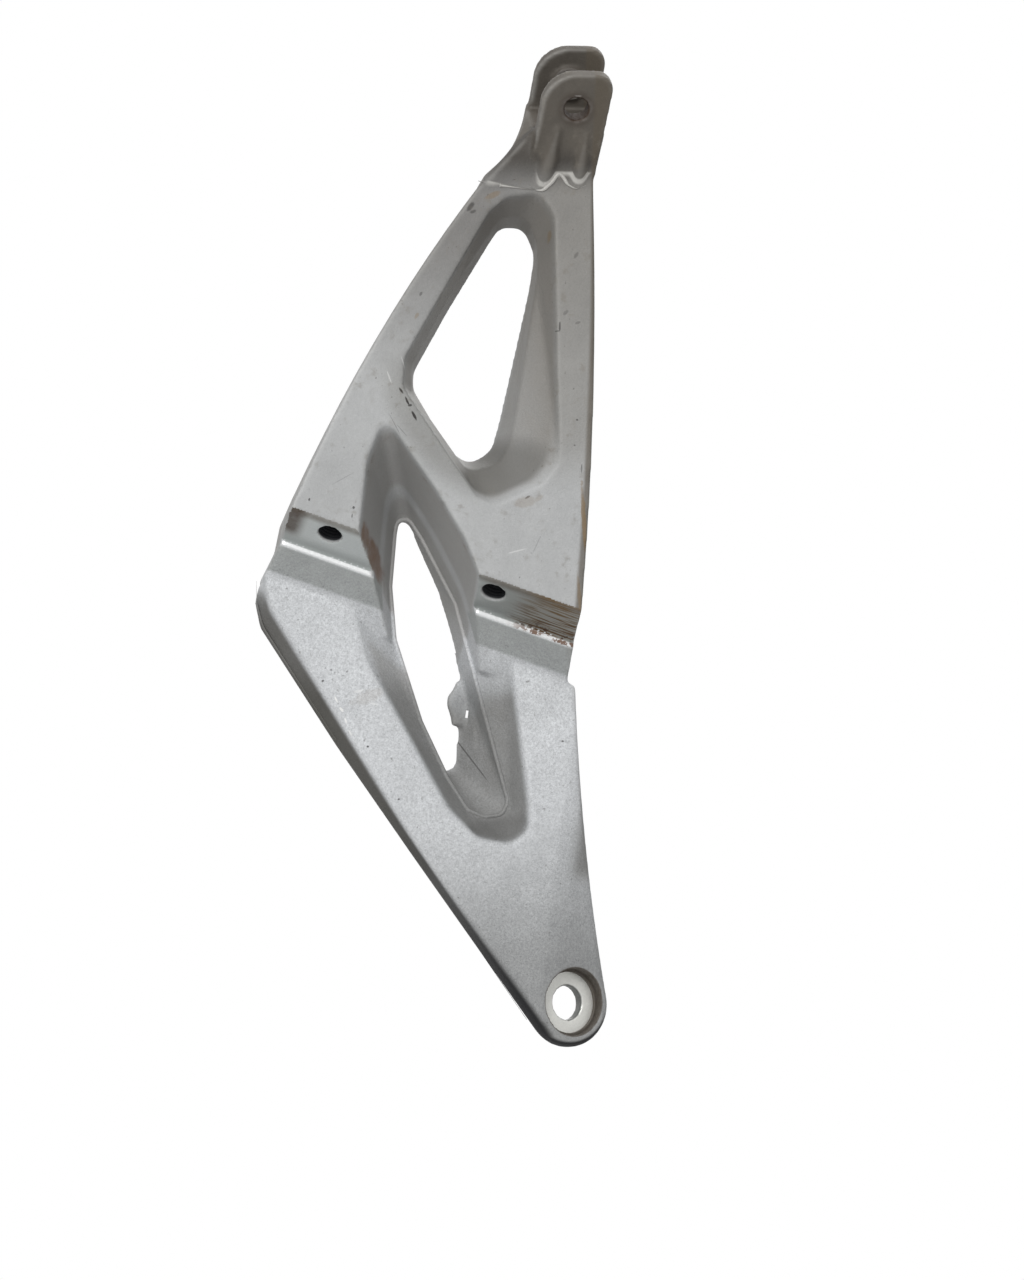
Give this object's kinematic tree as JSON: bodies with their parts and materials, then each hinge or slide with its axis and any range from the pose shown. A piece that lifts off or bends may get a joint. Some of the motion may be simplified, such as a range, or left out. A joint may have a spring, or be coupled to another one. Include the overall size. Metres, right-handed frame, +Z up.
{
  "type": "motorcycle footrest hanger",
  "caption": "Tapering cast aluminium hanger for a motorcycle footrest: open windows, a forked clevis on top, a machined step across its legs and a turned bolt eye at the lower tip.",
  "frame": {"origin": "centre of the main bolt's seat, in the eye at the lower tip", "axes": "+Z up along the hanger towards the clevis, -Y out of the visible face, +X to the right seen from that side"},
  "size_m": [0.1197, 0.0656, 0.3369],
  "materials": {
    "cast_metal": "satin, grainy cast surface"
  },
  "bodies": {
    "root": {"hanger_casting": "cast_metal"}
  },
  "joints": []
}
